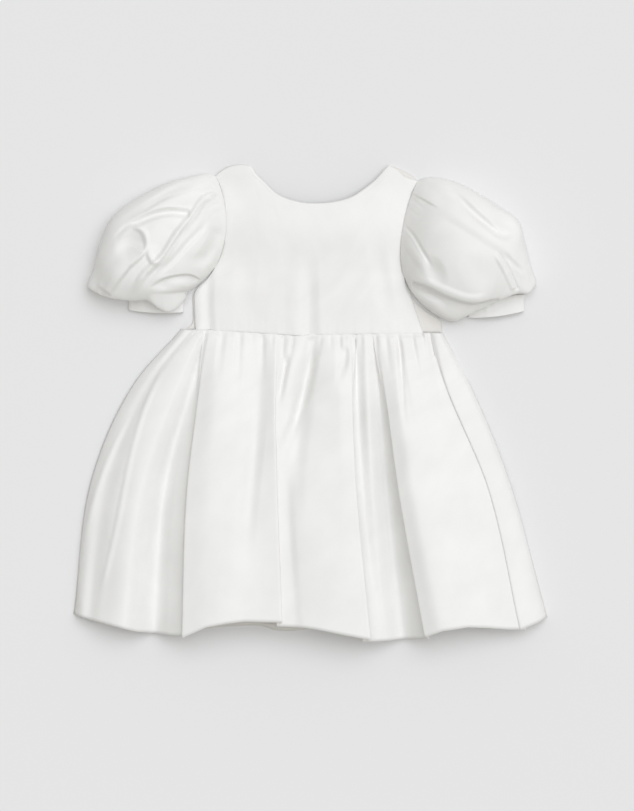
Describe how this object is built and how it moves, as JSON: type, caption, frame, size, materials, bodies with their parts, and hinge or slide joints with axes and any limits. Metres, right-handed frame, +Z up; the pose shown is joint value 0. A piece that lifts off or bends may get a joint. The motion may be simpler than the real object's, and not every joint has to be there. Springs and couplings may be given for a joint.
{
  "type": "child's satin dress",
  "caption": "Child's satin dress with a scooped neck, short puffed sleeves and a gathered skirt, laid flat with its front up.",
  "frame": {"origin": "centre of the bottom of the dress's box, on the surface that it lies on", "axes": "+X to the right as seen from above, +Y towards the neck, +Z up from the surface through the front of the dress"},
  "size_m": [0.476, 0.4779, 0.0497],
  "materials": {
    "satin": "ivory duchess satin with a soft sheen",
    "zip_tape": "matt ivory woven tape",
    "zip_slider": "ivory enamel"
  },
  "bodies": {
    "root": {"bodice_front": "satin", "bodice_back_left": "satin", "bodice_back_right": "satin", "sleeve_left": "satin", "sleeve_right": "satin", "cuff_left": "satin", "cuff_right": "satin", "skirt_front": "satin", "skirt_back_left": "satin", "skirt_back_right": "satin", "zip_tape": "zip_tape", "zip_slider": "zip_slider"}
  },
  "joints": []
}
